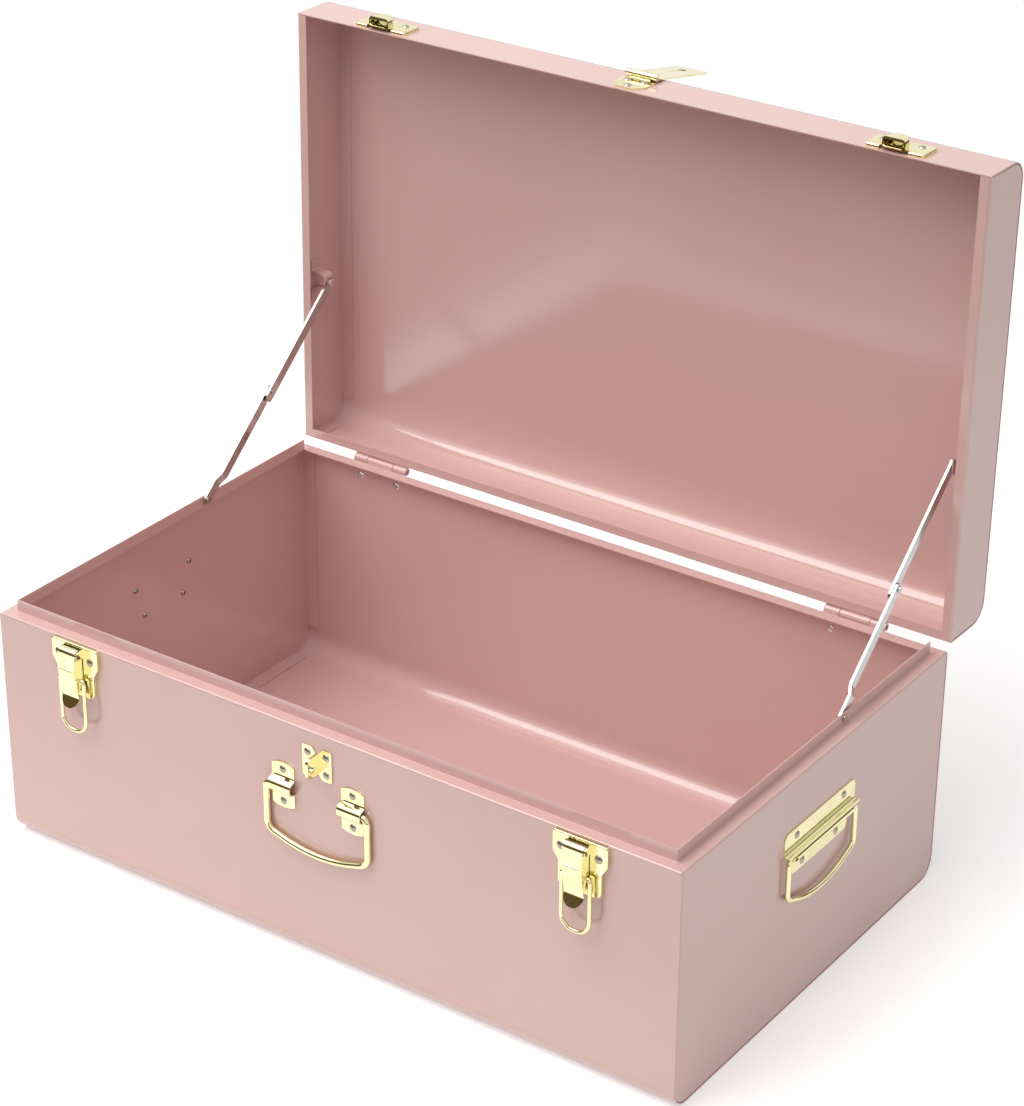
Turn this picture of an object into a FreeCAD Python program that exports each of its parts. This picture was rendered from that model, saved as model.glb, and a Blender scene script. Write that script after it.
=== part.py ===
import FreeCAD, Part
import math
import os

V = FreeCAD.Vector
ACROSS = V(1, 0, 0)
BACK = V(0, 1, 0)
UP = V(0, 0, 1)

# Trunk body: folded steel sheet, millimetres, floor centre at the origin, front towards -Y
length = 600.0
depth = 360.0
base_height = 192.0
lid_height = 50.0
sheet = 0.8
bend_radius = 16.0
fold_radius = 1.6
ledge_width = 9.6
lip_height = 9.3
end_flange = 13.0
flange_stop = 20.0
end_edge_radius = 1.2
lid_flange = 8.0
seam = 0.2
lid_gap = 0.4
lid_open_angle = 90.8

# Rivets
rivet_radius = 1.9
rivet_head_radius = 3.0
rivet_head_height = 1.3
rivet_tail_radius = 2.5
rivet_tail_height = 1.4
rivet_hollow_radius = 0.8
dome_rise = 0.72
dome_spread = 0.62
tail_spread = 0.76
rivet_clearance = 0.05

# Hinges
hinge_inset = 79.0
hinge_length = 52.0
hinge_mid_length = 25.0
hinge_leaf = 1.1
hinge_leaf_drop = 22.0
hinge_leaf_rise = 20.0
hinge_barrel_radius = 3.1
hinge_pin_radius = 1.9
hinge_standoff = 0.7
hinge_rise = 0.9
hinge_tongue = 2.5
hinge_rivet_spacing = 36.0
hinge_rivet_drop = 12.0
hinge_rivet_tail_radius = 3.1
pin_clearance = 0.05
knuckle_gap = 0.6
hinge_pin_recess = 1.2
running_gap = 0.4

# Draw latches
latch_inset = 77.0
tray_width = 44.0
tray_foot_width = 35.0
tray_depth = 4.0
tray_sheet = 1.0
tray_shoulder = 15.5
tray_taper = 7.5
tray_height = 42.0
tray_corner = 2.0
tray_foot_corner = 5.0
tray_edge_radius = 0.8
latch_rivet_spacing = 30.4
latch_rivet_drop = 10.8
latch_rivet_head_radius = 3.3
lever_pin_drop = 5.0
lever_pin_radius = 1.4
lever_sheet = 1.0
lever_nose_radius = 3.8
lever_nose_gap = 0.6
lever_half_width = 7.9
lever_ear_gap = 0.3
lever_rib_radius = 1.0
lever_rib_sink = 0.4
lever_rib_inset = 1.8
lever_crease_out = 1.6
lever_crease_drop = 12.5
lever_foot_in = 2.2
lever_foot_drop = 36.0
lever_tongue_out = 4.4
lever_tongue_drop = 7.6
lever_tip_radius = 7.4
lever_bend_radius = 4.0
ear_sheet = 1.0
ear_radius = 3.2
loop_wire_radius = 1.5
loop_pin_drop = 26.5
loop_pin_out = 8.0
loop_half_width = 11.4
loop_length = 44.3
loop_bottom_radius = 10.8
loop_top_radius = 2.4
loop_end_past = 0.4

# Latch strikes on the lid
strike_width = 47.0
strike_low = 2.5
strike_high = 24.0
strike_height = 2.7
strike_sheet = 1.0
strike_corner = 3.0
strike_edge_radius = 1.3
strike_rivet_spacing = 30.4
strike_rivet_rise = 16.5
hood_half_width = 9.2
hood_top = 10.4
hood_edge_radius = 3.0
hood_clearance = 0.3
hood_visor = 2.2
hood_gap = 2.4
strike_notch = 2.2
strike_tongue_half_width = 7.5
strike_tongue_rise = 5.4
strike_tongue_back = 1.4
strike_tongue_fold = 1.4
strike_tongue_tip_out = 4.0
strike_tongue_tip_past = 2.2

# Hasp on the lid
hasp_plate_width = 27.0
hasp_plate_low = 3.0
hasp_plate_taper = 7.0
hasp_plate_tip_width = 15.0
hasp_sheet = 1.2
hasp_rivet_spacing = 14.4
hasp_rivet_rise = 19.0
hasp_low_rivet_rise = 8.2
hasp_axis_rise = 27.5
hasp_axis_out = 4.0
hasp_barrel_radius = 2.6
hasp_pin_radius = 1.3
hasp_barrel_length = 27.0
hasp_mid_length = 18.0
hasp_knuckle_gap = 0.3
hasp_strap_length = 72.0
hasp_strap_offset = 1.3
hasp_strap_sheet = 1.4
hasp_strap_end_width = 26.4
hasp_strap_corner = 2.6
hasp_slot_end = 4.5
hasp_slot_clearance = 1.4
hasp_rest_gap = 0.4

# Padlock staple on the front wall
staple_drop = 23.5
staple_width = 26.0
staple_height = 25.0
staple_notch = 16.0
staple_lobe_width = 8.5
staple_sheet = 1.2
staple_corner = 1.8
staple_rivet_span = 16.4
staple_rivet_rise = 14.0
fin_height = 16.0
fin_out = 12.8
fin_corner = 4.0
fin_hole_radius = 2.5
fin_hole_out = 8.8

# Front carry handle
clip_spacing = 62.0
clip_width = 20.0
clip_height = 37.0
clip_drop = 52.0
clip_sheet = 1.2
clip_rivet_spacing = 26.0
clip_end_radius = 22.0
bail_wire_radius = 2.5
bail_wall_gap = 0.6
bail_clip_gap = 0.35
bail_half_width = 45.0
bail_stub = 17.0
bail_drop = 38.5
bail_bow = 14.0
bail_top_radius = 4.6
bail_corner_radius = 9.0
bail_bow_radius = 108.0

# Side carry handles
side_drop = 61.0
side_plate_width = 96.0
side_plate_top = 20.0
side_plate_ends = 2.5
side_foot_inset = 9.5
side_fold_radius = 2.0
side_plate_bottom = 16.5
side_sheet = 1.0
side_corner = 5.0
side_rivet_top_spacing = 64.0
side_rivet_top_rise = 14.0
side_rivet_low_spacing = 46.0
side_rivet_low_drop = 11.2
side_wire_radius = 2.0
side_wire_gap = 0.35
side_wire_wall_gap = 0.5
side_bail_inset = 2.5
side_bail_drop = 32.0
side_bail_bow = 19.0
side_bail_corner_radius = 6.0
side_bail_top_radius = 4.4
side_bail_bow_radius = 88.0

# Folding lid stays
stay_from_back = 135.0
stay_pin_rise = 5.2
stay_lid_pin_rise = 14.5
stay_width = 8.2
stay_sheet = 1.8
stay_gap = 0.3
stay_elbow_gap = 0.8
stay_elbow_past = 5.5
stay_rivet_radius = 1.8
stay_head_radius = 3.2
stay_head_height = 1.2
elbow_head_radius = 2.4
elbow_head_height = 0.6
stay_joggle_start = 17.0
stay_joggle_run = 7.0
stay_joggle_radius = 4.0
bracket_sheet = 1.2
bracket_width = 9.4
bracket_ear = 6.6
bracket_foot = 9.0
bracket_fold_radius = 2.2
stay_notch = 2.0
stay_notch_run = 8.0

# Places worked out from the sizes above
front = -depth / 2
rear = depth / 2
end = length / 2
rim = base_height + lid_gap
lid_top = rim + lid_height
hinge_y = rear + hinge_standoff + hinge_barrel_radius
hinge_z = base_height + hinge_rise
hinge_x = end - hinge_inset
latch_x = end - latch_inset
nest = sheet + seam
lever_pin_out = tray_depth + lever_nose_gap + lever_nose_radius
lever_pin_z = base_height - lever_pin_drop
loop_pin_z = base_height - loop_pin_drop
hasp_z = rim + hasp_axis_rise
staple_z = base_height - staple_drop
clip_z = base_height - clip_drop
bail_out = bail_wire_radius + bail_wall_gap
side_z = base_height - side_drop
side_wire_out = side_wire_radius + side_wire_wall_gap + side_sheet
stay_y = rear - stay_from_back
stay_z = base_height + stay_pin_rise
stay_lid_z = rim + stay_lid_pin_rise
lip_inside = end - ledge_width - sheet
stay_low_outside = lip_inside - stay_gap
joggle = stay_elbow_gap + stay_sheet + stay_gap


def line(a, b):
    return Part.makeLine(a, b)


def corner_reach(before, at, after, radius):
    """How far along its two sides a rounded corner starts."""
    return radius / math.tan((before - at).getAngle(after - at) / 2)


def rounded(points, radii):
    """Edges along the points, each inner corner rounded by its radius."""
    edges = []
    last = points[0]
    for before, at, after, radius in zip(points, points[1:], points[2:], radii):
        if radius <= 0:
            edges.append(line(last, at))
            last = at
            continue
        to_before = (before - at).normalize()
        to_after = (after - at).normalize()
        half = to_before.getAngle(to_after) / 2
        reach = corner_reach(before, at, after, radius)
        inward = (to_before + to_after).normalize()
        start = at + to_before * reach
        finish = at + to_after * reach
        middle = at + inward * (radius / math.sin(half) - radius)
        if (start - last).Length > 1e-6:
            edges.append(line(last, start))
        edges.append(Part.Arc(start, middle, finish).toShape())
        last = finish
    if (points[-1] - last).Length > 1e-6:
        edges.append(line(last, points[-1]))
    return edges


def outline(points, radii):
    """A closed wire through the points, with each corner rounded by its own radius."""
    closing = points[0] - points[-1]
    used_last = corner_reach(points[-2], points[-1], points[0], radii[-1])
    used_first = corner_reach(points[-1], points[0], points[1], radii[0])
    along = (closing.Length + used_last - used_first) / 2
    start = points[-1] + closing.normalize() * along
    return Part.Wire(rounded([start] + points + [start], radii))


def prism(points, radii, along):
    return Part.Face(outline(points, radii)).extrude(along)


def folded(points, radii, thick, normal, along):
    """Sheet of one thickness on the left of a path, seen against the normal, drawn out along a vector."""
    runs = [(b - a).normalize() for a, b in zip(points, points[1:])]
    lefts = [normal.cross(run) for run in runs]
    inner = [points[0] + lefts[0] * thick]
    inner_radii = []
    for i in range(1, len(runs)):
        across = lefts[i - 1] + lefts[i]
        inner.append(points[i] + across * (thick / (1 + lefts[i - 1].dot(lefts[i]))))
        turns_left = normal.dot(runs[i - 1].cross(runs[i])) > 0
        radius = radii[i - 1]
        inner_radii.append(max(radius - thick, 0) if turns_left else radius + thick)
    inner.append(points[-1] + lefts[-1] * thick)
    edges = rounded(points, radii)
    edges.append(line(points[-1], inner[-1]))
    edges += rounded(inner[::-1], inner_radii[::-1])
    edges.append(line(inner[0], points[0]))
    return Part.Face(Part.Wire(edges)).extrude(along)


def box(x0, x1, y0, y1, z0, z1):
    return Part.makeBox(x1 - x0, y1 - y0, z1 - z0, V(x0, y0, z0))


def cylinder(radius, start, along):
    return Part.makeCylinder(radius, along.Length, start, along)


def wire_rod(points, radii, radius):
    """A round wire bent along the points."""
    path = Part.Wire(rounded(points, radii))
    heading = (points[1] - points[0]).normalize()
    circle = Part.Wire(Part.makeCircle(radius, points[0], heading))
    return path.makePipeShell([circle], True, False)


def mirrored(shape):
    return shape.mirror(V(0, 0, 0), ACROSS)


def moved(shape, x):
    copy = shape.copy()
    copy.translate(V(x, 0, 0))
    return copy


def opened(shape):
    """A lid piece, drawn with the lid shut, swung up to where the lid stands open."""
    copy = shape.copy()
    copy.rotate(V(0, hinge_y, hinge_z), ACROSS, -lid_open_angle)
    return copy


def rivet(at, outward, grip, head=rivet_head_radius, tail_radius=rivet_tail_radius, radius=rivet_radius):
    """A domed rivet: head on the outer face, shank through the grip, hollow tail rolled over inside."""
    out = outward
    side = V(0, 0, 1) if abs(out.z) < 0.5 else V(1, 0, 0)
    crown = at + out * rivet_head_height
    shoulder = at + out * (rivet_head_height * dome_rise) + side * (head * dome_spread)
    low = at - out * grip
    tail = low - out * rivet_tail_height
    tail_shoulder = low - out * (rivet_tail_height * dome_rise) + side * (tail_radius * tail_spread)
    hollow = side * rivet_hollow_radius
    edges = [
        Part.Arc(crown, shoulder, at + side * head).toShape(),
        line(at + side * head, at + side * radius),
        line(at + side * radius, low + side * radius),
        line(low + side * radius, low + side * tail_radius),
        Part.Arc(low + side * tail_radius, tail_shoulder, tail + hollow).toShape(),
        line(tail + hollow, low + hollow),
        line(low + hollow, low),
        line(low, crown),
    ]
    return Part.Face(Part.Wire(edges)).revolve(at, out, 360)


def drilled(shape, places, outward, radius=rivet_radius + rivet_clearance, reach=2 * bend_radius):
    """Round holes right through a piece, along the outward direction."""
    for at in places:
        shape = shape.cut(cylinder(radius, at - outward * reach, outward * (2 * reach)))
    return shape


def front_point(x, out, z):
    return V(x, front - out, z)


def mitre(side_x, side_y, keep_end, low, high):
    """The half of a rim corner beyond its diagonal: the wrap's half, or the end panel's."""
    reach = ledge_width + 2 * sheet + fold_radius
    corner = V(side_x * end, side_y * rear, low)
    along_x = V(-side_x * reach, 0, 0)
    along_y = V(0, -side_y * reach, 0)
    shift = V(side_x * seam, 0, 0) if keep_end else V(0, 0, 0)
    other = along_x if keep_end else along_y
    points = [corner + shift, corner + other + shift, corner + along_x + along_y + shift]
    return Part.Face(Part.makePolygon(points + points[:1])).extrude(UP * (high - low))


def base_wrap():
    """Front wall, floor and back wall in one sheet, with the front ledge and lip and the back ledge."""
    at = V(-end, 0, 0)
    points = [
        at + V(0, rear - ledge_width - sheet, base_height),
        at + V(0, rear, base_height),
        at + V(0, rear, 0),
        at + V(0, front, 0),
        at + V(0, front, base_height),
        at + V(0, front + ledge_width, base_height),
        at + V(0, front + ledge_width, base_height + lip_height),
    ]
    radii = [fold_radius, bend_radius, bend_radius, fold_radius, sheet / 2]
    wrap = folded(points, radii, sheet, -ACROSS, ACROSS * length)
    low = base_height - fold_radius
    for side_x in (-1, 1):
        for side_y in (-1, 1):
            wrap = wrap.cut(mitre(side_x, side_y, False, low, base_height + 2 * lip_height))
    holes = [(V(x, front, z), -BACK) for x, z in latch_rivets_at()]
    holes += [(V(x, front, z), -BACK) for x, z in staple_rivets_at()]
    holes += [(V(x, front, z), -BACK) for x, z in clip_rivets_at()]
    holes += [(V(x, rear, z), BACK) for x, z in hinge_rivets_at()]
    for at, outward in holes:
        wrap = drilled(wrap, [at], outward)
    return wrap


def end_pan(low, high, bottom_bends):
    """A flanged end panel on the right: a flat sheet whose edges turn in against the wrap."""
    wide = rear - nest
    corner = bend_radius - nest
    radii = [corner, corner, 0, 0] if bottom_bends else [0, 0, corner, corner]
    start = end - end_flange

    def block(inset, x):
        points = [
            V(x, -wide + inset, low + (inset if bottom_bends else 0)),
            V(x, wide - inset, low + (inset if bottom_bends else 0)),
            V(x, wide - inset, high - (0 if bottom_bends else inset)),
            V(x, -wide + inset, high - (0 if bottom_bends else inset)),
        ]
        return prism(points, [max(r - inset, 0) for r in radii], ACROSS * end_flange)

    pan = block(0, start)
    rim_edges = [e for e in pan.Edges if all(abs(v.X - end) < seam / 2 for v in e.Vertexes)]
    flat = high if bottom_bends else low
    rim_edges = [e for e in rim_edges if not all(abs(v.Z - flat) < seam / 2 for v in e.Vertexes)]
    pan = pan.makeFillet(end_edge_radius, rim_edges)
    pan = pan.cut(block(sheet, start - sheet))
    bend_low = low - seam if bottom_bends else high + seam - flange_stop
    for side_y in (-1, 1):
        y = sorted((side_y * (rear - flange_stop), side_y * rear))
        gap = box(start - sheet, end - end_edge_radius - sheet, y[0], y[1], bend_low, bend_low + flange_stop)
        pan = pan.cut(gap)
    return pan


def base_end():
    """Right end panel of the base, with its side ledge and the lip that the stay is riveted to."""
    pan = end_pan(nest, base_height - fold_radius, True)
    at = V(0, front, 0)
    points = [
        at + V(end, 0, base_height - 2 * fold_radius),
        at + V(end, 0, base_height),
        at + V(end - ledge_width, 0, base_height),
        at + V(end - ledge_width, 0, base_height + lip_height),
    ]
    rim_sheet = folded(points, [fold_radius, sheet / 2], sheet, -BACK, BACK * depth)
    above = base_height + 2 * lip_height
    for side_y in (-1, 1):
        rim_sheet = rim_sheet.cut(mitre(1, side_y, True, base_height - 2 * fold_radius, above))
        y = sorted((side_y * (rear - nest), side_y * (rear + seam)))
        rim_sheet = rim_sheet.cut(box(0, end + seam, y[0], y[1], 0, base_height - sheet))
    lip_back = box(0, end - ledge_width + seam, rear - ledge_width, rear, base_height, above)
    rim_sheet = rim_sheet.cut(lip_back)
    panel = pan.fuse(rim_sheet).removeSplitter()
    panel = drilled(panel, [V(end, y, z) for y, z in side_rivets_at()], ACROSS)
    radius = stay_rivet_radius + rivet_clearance
    return drilled(panel, [V(end, stay_y, stay_z)], ACROSS, radius)


def lid_wrap():
    """Front, top and back of the lid in one sheet, with the back edge turned in."""
    at = V(-end, 0, 0)
    points = [
        at + V(0, front, rim),
        at + V(0, front, lid_top),
        at + V(0, rear, lid_top),
        at + V(0, rear, rim),
        at + V(0, rear - lid_flange, rim),
    ]
    radii = [bend_radius, bend_radius, fold_radius]
    wrap = folded(points, radii, sheet, -ACROSS, ACROSS * length)
    for side_x in (-1, 1):
        wrap = wrap.cut(mitre(side_x, 1, False, rim - seam, rim + fold_radius))
    for x, z in strike_rivets_at() + hasp_rivets_at():
        wrap = drilled(wrap, [V(x, front, z)], -BACK)
    return wrap


def lid_end():
    """Right end panel of the lid, with its lower edge turned in to rest on the ledge."""
    pan = end_pan(rim + fold_radius, lid_top - nest, False)
    at = V(0, front + nest, 0)
    points = [
        at + V(end - lid_flange, 0, rim),
        at + V(end, 0, rim),
        at + V(end, 0, rim + 2 * fold_radius),
    ]
    turned = folded(points, [fold_radius], sheet, -BACK, BACK * (depth - 2 * nest))
    turned = turned.cut(mitre(1, 1, True, rim - seam, rim + 2 * fold_radius))
    return pan.fuse(turned).removeSplitter()


def hinge_rivets_at():
    return [(side * hinge_x + step * hinge_rivet_spacing / 2, base_height - hinge_rivet_drop)
            for side in (-1, 1) for step in (-1, 1)]


def hinge_spans():
    """Where the middle knuckle and the two outer knuckles lie along the barrel, from its centre."""
    middle = hinge_mid_length / 2
    outer = hinge_length / 2
    return [(-middle, middle)], [(-outer, -middle - knuckle_gap), (middle + knuckle_gap, outer)]


def hinge_leaf_piece(own, other, on_lid):
    """One leaf: a plate on the back wall and its knuckles rolled round the pin."""
    half = hinge_length / 2
    outer = rear + hinge_leaf
    if on_lid:
        plate = box(-half, half, rear, outer, rim + lid_gap, rim + hinge_leaf_rise)
        tongue_low, tongue_high = hinge_z, rim + hinge_tongue
    else:
        plate = box(-half, half, rear, outer, base_height - hinge_leaf_drop, base_height - lid_gap)
        tongue_low, tongue_high = base_height - hinge_tongue, hinge_z
    for start, finish in other:
        clear = hinge_barrel_radius + running_gap
        at = V(start - knuckle_gap, hinge_y, hinge_z)
        plate = plate.cut(cylinder(clear, at, ACROSS * (finish - start + 2 * knuckle_gap)))
    inner = rear + hinge_standoff
    for start, finish in own:
        plate = plate.fuse(box(start, finish, inner, inner + hinge_leaf, tongue_low, tongue_high))
        at = V(start, hinge_y, hinge_z)
        plate = plate.fuse(cylinder(hinge_barrel_radius, at, ACROSS * (finish - start)))
    bore = hinge_pin_radius + pin_clearance
    return drilled(plate, [V(0, hinge_y, hinge_z)], ACROSS, bore, hinge_length).removeSplitter()


def hinge_pin():
    half = hinge_length / 2 - hinge_pin_recess
    return cylinder(hinge_pin_radius, V(-half, hinge_y, hinge_z), ACROSS * (2 * half))


def latch_rivets_at():
    return [(side * latch_x + step * latch_rivet_spacing / 2, base_height - latch_rivet_drop)
            for side in (-1, 1) for step in (-1, 1)]


def tray_outline(inset, out, reach):
    """The latch plate's shape, wide at the top and drawn in below its rivets."""
    wide = tray_width / 2 - inset
    foot = tray_foot_width / 2 - inset
    shoulder = base_height - tray_shoulder
    waist = shoulder - tray_taper
    low = base_height - tray_height + inset
    high = base_height - inset
    points = [
        front_point(-wide, out, high),
        front_point(-wide, out, shoulder),
        front_point(-foot, out, waist),
        front_point(-foot, out, low),
        front_point(foot, out, low),
        front_point(foot, out, waist),
        front_point(wide, out, shoulder),
        front_point(wide, out, high),
    ]
    foot_corner = tray_foot_corner - inset
    half = [tray_corner - inset, tray_corner + inset, tray_corner, foot_corner]
    return prism(points, half + half[::-1], -BACK * reach)


def latch_plate():
    """A shallow pan on the front wall with two ears that carry the lever's pin."""
    pan = tray_outline(0, 0, tray_depth)
    face_y = front - tray_depth
    edges = [e for e in pan.Edges if all(abs(v.Y - face_y) < seam / 2 for v in e.Vertexes)]
    pan = pan.makeFillet(tray_edge_radius, edges)
    pan = pan.cut(tray_outline(tray_sheet, 0, tray_depth - tray_sheet))
    rivet_z = base_height - latch_rivet_drop
    holes = [front_point(step * latch_rivet_spacing / 2, 0, rivet_z) for step in (-1, 1)]
    pan = drilled(pan, holes, -BACK)
    ear_inside = lever_half_width + lever_ear_gap
    root = tray_depth - tray_sheet / 2
    for side in (-1, 1):
        x0, x1 = sorted((side * ear_inside, side * (ear_inside + ear_sheet)))
        arm = box(x0, x1, front - lever_pin_out, front - root,
                  lever_pin_z - ear_radius, lever_pin_z + ear_radius)
        eye = cylinder(ear_radius, front_point(x0, lever_pin_out, lever_pin_z), ACROSS * ear_sheet)
        pan = pan.fuse(arm).fuse(eye)
    bore = lever_pin_radius + pin_clearance
    pan = drilled(pan, [front_point(0, lever_pin_out, lever_pin_z)], ACROSS, bore, tray_width)
    return pan.removeSplitter()


def latch_pin():
    half = lever_half_width + lever_ear_gap + ear_sheet
    start = front_point(-half, lever_pin_out, lever_pin_z)
    return cylinder(lever_pin_radius, start, ACROSS * (2 * half))


def latch_lever():
    """A channel-shaped lever: nose over the pin, creased face, two cheeks and a round finger tongue."""
    wide = lever_half_width
    nose = lever_pin_out + lever_nose_radius
    crease = nose + lever_crease_out
    crease_z = lever_pin_z - lever_crease_drop
    foot = nose - lever_foot_in
    foot_z = lever_pin_z - lever_foot_drop
    top_z = lever_pin_z + lever_nose_radius
    tongue = foot + lever_tongue_out
    tongue_z = foot_z - lever_tongue_drop
    points = [
        front_point(-wide, lever_pin_out - lever_sheet, top_z),
        front_point(-wide, nose, top_z),
        front_point(-wide, crease, crease_z),
        front_point(-wide, foot, foot_z),
        front_point(-wide, tongue, tongue_z),
    ]
    bends = [lever_nose_radius - lever_sheet / 4, lever_bend_radius / 2, lever_bend_radius]
    face = folded(points, bends, lever_sheet, ACROSS, ACROSS * (2 * wide))
    mask = [
        front_point(-wide, -tray_depth, top_z + lever_sheet),
        front_point(-wide, -tray_depth, tongue_z),
        front_point(wide, -tray_depth, tongue_z),
        front_point(wide, -tray_depth, top_z + lever_sheet),
    ]
    reach = crease + 2 * tray_depth
    face = face.common(prism(mask, [0, lever_tip_radius, lever_tip_radius, 0], -BACK * reach))
    rib = wide - lever_rib_inset
    rib_at = front_point(-rib, crease - lever_rib_sink, crease_z)
    face = face.fuse(cylinder(lever_rib_radius, rib_at, ACROSS * (2 * rib)))
    back_out = lever_pin_out - lever_nose_radius
    loop_reach = loop_wire_radius + 2 * lever_sheet
    for side in (-1, 1):
        x = min(side * wide, side * (wide - lever_sheet))
        cheek_points = [
            front_point(x, back_out, lever_pin_z),
            front_point(x, back_out, loop_pin_z - loop_reach / 2),
            front_point(x, loop_pin_out, loop_pin_z - loop_reach),
            front_point(x, foot - lever_sheet, foot_z + lever_bend_radius),
            front_point(x, foot - lever_sheet / 4, foot_z + lever_bend_radius / 2),
            front_point(x, crease - lever_sheet / 4, crease_z),
            front_point(x, nose, lever_pin_z),
        ]
        cheek = prism(cheek_points, [0, 1, 1, 0, 0, 0, 0], ACROSS * lever_sheet)
        pivot = front_point(x, lever_pin_out, lever_pin_z)
        cheek = cheek.fuse(cylinder(lever_nose_radius, pivot, ACROSS * lever_sheet))
        face = face.fuse(cheek)
    pin_bore = lever_pin_radius + pin_clearance
    loop_bore = loop_wire_radius + pin_clearance
    face = drilled(face, [front_point(0, lever_pin_out, lever_pin_z)], ACROSS, pin_bore)
    face = drilled(face, [front_point(0, loop_pin_out, loop_pin_z)], ACROSS, loop_bore)
    return face.removeSplitter()


def latch_loop():
    """The wire loop that hooks over the strike, its ends turned into the lever's cheeks."""
    low = loop_pin_z - loop_length
    stub = lever_half_width - lever_sheet - loop_end_past
    points = [
        front_point(-stub, loop_pin_out, loop_pin_z),
        front_point(-loop_half_width, loop_pin_out, loop_pin_z),
        front_point(-loop_half_width, loop_pin_out, low),
        front_point(loop_half_width, loop_pin_out, low),
        front_point(loop_half_width, loop_pin_out, loop_pin_z),
        front_point(stub, loop_pin_out, loop_pin_z),
    ]
    radii = [loop_top_radius, loop_bottom_radius, loop_bottom_radius, loop_top_radius]
    return wire_rod(points, radii, loop_wire_radius)


def strike_rivets_at():
    return [(side * latch_x + step * strike_rivet_spacing / 2, rim + strike_rivet_rise)
            for side in (-1, 1) for step in (-1, 1)]


def strike():
    """A raised plate on the lid's front wall, with a hood over a sloping tongue for the wire loop."""
    def pan_block(inset, reach):
        wide = strike_width / 2 - inset
        low = rim + strike_low + inset
        high = rim + strike_high - inset
        points = [
            front_point(-wide, 0, low),
            front_point(wide, 0, low),
            front_point(wide, 0, high),
            front_point(-wide, 0, high),
        ]
        return prism(points, [strike_corner - inset] * 4, -BACK * reach)

    loop_top = loop_pin_z + loop_length - loop_wire_radius - hood_clearance

    def hood_block(inset, start, reach):
        wide = hood_half_width - inset
        high = loop_top - inset
        points = [
            front_point(-wide, start, rim + strike_low),
            front_point(wide, start, rim + strike_low),
            front_point(wide, start, high),
            front_point(-wide, start, high),
        ]
        return prism(points, [0, 0, wide, wide], -BACK * (reach - start))

    def edges_at(shape, out, skip_z):
        y = front - out
        flat = [e for e in shape.Edges if all(abs(v.Y - y) < seam / 2 for v in e.Vertexes)]
        return [e for e in flat if not all(abs(v.Z - skip_z) < seam / 2 for v in e.Vertexes)]

    pan = pan_block(0, strike_height)
    pan = pan.makeFillet(strike_edge_radius, edges_at(pan, strike_height, -1))
    pan = pan.cut(pan_block(strike_sheet, strike_height - strike_sheet))
    gap = hood_half_width + hood_gap
    low = rim + strike_low
    pan_face = strike_height - strike_sheet
    pan = pan.cut(box(-gap, gap, front - pan_face, front, low - seam, low + 2 * strike_sheet))
    hood = hood_block(0, pan_face, hood_top)
    hood = hood.makeFillet(hood_edge_radius, edges_at(hood, hood_top, low))
    under = hood_top - strike_sheet
    hollow = hood_block(strike_sheet, strike_height, under)
    hollow = hollow.makeFillet(hood_edge_radius - strike_sheet, edges_at(hollow, under, low))
    wide = hood_half_width
    crown = front - hood_top
    visor = hood.common(box(-wide, wide, crown, crown + hood_visor, low, low + strike_sheet))
    half = strike_tongue_half_width
    for side in (-1, 1):
        x0, x1 = sorted((side * half, side * gap))
        pan = pan.cut(box(x0, x1, front - strike_height - seam, front, low - seam, low + strike_notch))
    root_z = low + strike_tongue_back
    ramp = [
        front_point(-half, pan_face, root_z),
        front_point(-half, strike_tongue_rise, root_z),
        front_point(-half, strike_tongue_tip_out, low - strike_tongue_tip_past),
    ]
    tongue = folded(ramp, [strike_tongue_fold], strike_sheet, ACROSS, ACROSS * (2 * half))
    plate = pan.fuse(hood).cut(hollow).fuse(visor).fuse(tongue)
    holes = [front_point(step * strike_rivet_spacing / 2, 0, rim + strike_rivet_rise) for step in (-1, 1)]
    return drilled(plate, holes, -BACK).removeSplitter()


def hasp_rivets_at():
    top = rim + hasp_rivet_rise
    return [(-hasp_rivet_spacing / 2, top), (hasp_rivet_spacing / 2, top), (0, rim + hasp_low_rivet_rise)]


def hasp_plate():
    """The fixed leaf of the hasp: tapered towards the rim, with one knuckle at its upper edge."""
    wide = hasp_plate_width / 2
    tip = hasp_plate_tip_width / 2
    low = rim + hasp_plate_low
    high = hasp_z - hasp_barrel_radius - running_gap
    points = [
        front_point(-tip, 0, low),
        front_point(tip, 0, low),
        front_point(wide, 0, low + hasp_plate_taper),
        front_point(wide, 0, high),
        front_point(-wide, 0, high),
        front_point(-wide, 0, low + hasp_plate_taper),
    ]
    plate = prism(points, [1, 1, 1, 1, 1, 1], -BACK * hasp_sheet)
    half = hasp_mid_length / 2
    back_of_barrel = hasp_axis_out - hasp_barrel_radius
    ramp = [
        front_point(-half, 0, high - 2 * hasp_sheet),
        front_point(-half, 0, high - hasp_sheet),
        front_point(-half, back_of_barrel, hasp_z - hasp_barrel_radius / 2),
        front_point(-half, back_of_barrel, hasp_z),
    ]
    plate = plate.fuse(folded(ramp, [hasp_sheet, hasp_sheet], hasp_sheet, ACROSS, ACROSS * hasp_mid_length))
    knuckle_at = front_point(-half, hasp_axis_out, hasp_z)
    plate = plate.fuse(cylinder(hasp_barrel_radius, knuckle_at, ACROSS * hasp_mid_length))
    axis = front_point(0, hasp_axis_out, hasp_z)
    plate = drilled(plate, [axis], ACROSS, hasp_pin_radius + pin_clearance)
    return drilled(plate, [V(x, front, z) for x, z in hasp_rivets_at()], -BACK).removeSplitter()


def hasp_pin():
    start = front_point(-hasp_barrel_length / 2, hasp_axis_out, hasp_z)
    return cylinder(hasp_pin_radius, start, ACROSS * hasp_barrel_length)


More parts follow.
